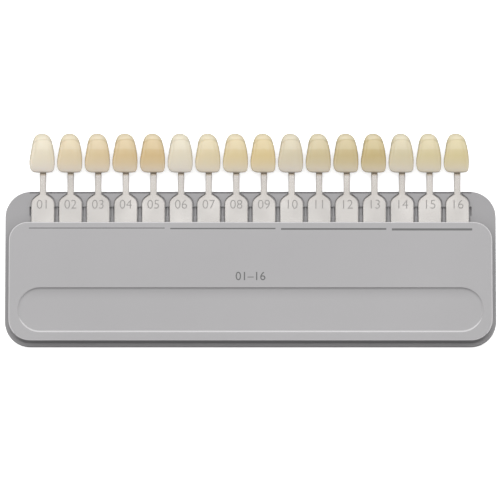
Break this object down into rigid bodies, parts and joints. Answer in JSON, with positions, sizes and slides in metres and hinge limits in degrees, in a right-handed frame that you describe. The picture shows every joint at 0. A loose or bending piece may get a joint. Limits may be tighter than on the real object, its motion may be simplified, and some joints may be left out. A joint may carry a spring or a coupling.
{
  "type": "dental shade guide",
  "caption": "Flat rounded holder with a raised grip panel and a row of pull-out metal tabs, each carrying a tooth-shaped colour sample.",
  "frame": {"origin": "centre of the holder's flat back face", "axes": "+X along the row of tabs, +Y from the grip towards the teeth, +Z out of the front; the guide lies on its back"},
  "size_m": [0.1774, 0.0778, 0.0076],
  "materials": {
    "holder_plastic": "fine satin grey moulding",
    "cover_plastic": "fine satin grey moulding",
    "plate_steel": "satin stamped strip with bevelled edges",
    "shade_01": "glossy tooth shade",
    "shade_02": "glossy tooth shade",
    "shade_03": "glossy tooth shade",
    "shade_04": "glossy tooth shade",
    "shade_05": "glossy tooth shade",
    "shade_06": "glossy tooth shade",
    "shade_07": "glossy tooth shade",
    "shade_08": "glossy tooth shade",
    "shade_09": "glossy tooth shade",
    "shade_10": "glossy tooth shade",
    "shade_11": "glossy tooth shade",
    "shade_12": "glossy tooth shade",
    "shade_13": "glossy tooth shade",
    "shade_14": "glossy tooth shade",
    "shade_15": "glossy tooth shade",
    "shade_16": "glossy tooth shade"
  },
  "bodies": {
    "holder": {"tray": "holder_plastic", "front_cover": "cover_plastic"},
    "tab_01": {"tab_plate_01": "plate_steel", "tooth_01": "shade_01"},
    "tab_02": {"tab_plate_02": "plate_steel", "tooth_02": "shade_02"},
    "tab_03": {"tab_plate_03": "plate_steel", "tooth_03": "shade_03"},
    "tab_04": {"tab_plate_04": "plate_steel", "tooth_04": "shade_04"},
    "tab_05": {"tab_plate_05": "plate_steel", "tooth_05": "shade_05"},
    "tab_06": {"tab_plate_06": "plate_steel", "tooth_06": "shade_06"},
    "tab_07": {"tab_plate_07": "plate_steel", "tooth_07": "shade_07"},
    "tab_08": {"tab_plate_08": "plate_steel", "tooth_08": "shade_08"},
    "tab_09": {"tab_plate_09": "plate_steel", "tooth_09": "shade_09"},
    "tab_10": {"tab_plate_10": "plate_steel", "tooth_10": "shade_10"},
    "tab_11": {"tab_plate_11": "plate_steel", "tooth_11": "shade_11"},
    "tab_12": {"tab_plate_12": "plate_steel", "tooth_12": "shade_12"},
    "tab_13": {"tab_plate_13": "plate_steel", "tooth_13": "shade_13"},
    "tab_14": {"tab_plate_14": "plate_steel", "tooth_14": "shade_14"},
    "tab_15": {"tab_plate_15": "plate_steel", "tooth_15": "shade_15"},
    "tab_16": {"tab_plate_16": "plate_steel", "tooth_16": "shade_16"}
  },
  "joints": [
    {"name": "tab_01_pull", "type": "slide", "parent": "holder", "child": "tab_01", "axis": [0, 1, 0], "range_m": [0, 0.022]},
    {"name": "tab_02_pull", "type": "slide", "parent": "holder", "child": "tab_02", "axis": [0, 1, 0], "range_m": [0, 0.022]},
    {"name": "tab_03_pull", "type": "slide", "parent": "holder", "child": "tab_03", "axis": [0, 1, 0], "range_m": [0, 0.022]},
    {"name": "tab_04_pull", "type": "slide", "parent": "holder", "child": "tab_04", "axis": [0, 1, 0], "range_m": [0, 0.022]},
    {"name": "tab_05_pull", "type": "slide", "parent": "holder", "child": "tab_05", "axis": [0, 1, 0], "range_m": [0, 0.022]},
    {"name": "tab_06_pull", "type": "slide", "parent": "holder", "child": "tab_06", "axis": [0, 1, 0], "range_m": [0, 0.022]},
    {"name": "tab_07_pull", "type": "slide", "parent": "holder", "child": "tab_07", "axis": [0, 1, 0], "range_m": [0, 0.022]},
    {"name": "tab_08_pull", "type": "slide", "parent": "holder", "child": "tab_08", "axis": [0, 1, 0], "range_m": [0, 0.022]},
    {"name": "tab_09_pull", "type": "slide", "parent": "holder", "child": "tab_09", "axis": [0, 1, 0], "range_m": [0, 0.022]},
    {"name": "tab_10_pull", "type": "slide", "parent": "holder", "child": "tab_10", "axis": [0, 1, 0], "range_m": [0, 0.022]},
    {"name": "tab_11_pull", "type": "slide", "parent": "holder", "child": "tab_11", "axis": [0, 1, 0], "range_m": [0, 0.022]},
    {"name": "tab_12_pull", "type": "slide", "parent": "holder", "child": "tab_12", "axis": [0, 1, 0], "range_m": [0, 0.022]},
    {"name": "tab_13_pull", "type": "slide", "parent": "holder", "child": "tab_13", "axis": [0, 1, 0], "range_m": [0, 0.022]},
    {"name": "tab_14_pull", "type": "slide", "parent": "holder", "child": "tab_14", "axis": [0, 1, 0], "range_m": [0, 0.022]},
    {"name": "tab_15_pull", "type": "slide", "parent": "holder", "child": "tab_15", "axis": [0, 1, 0], "range_m": [0, 0.022]},
    {"name": "tab_16_pull", "type": "slide", "parent": "holder", "child": "tab_16", "axis": [0, 1, 0], "range_m": [0, 0.022]}
  ]
}
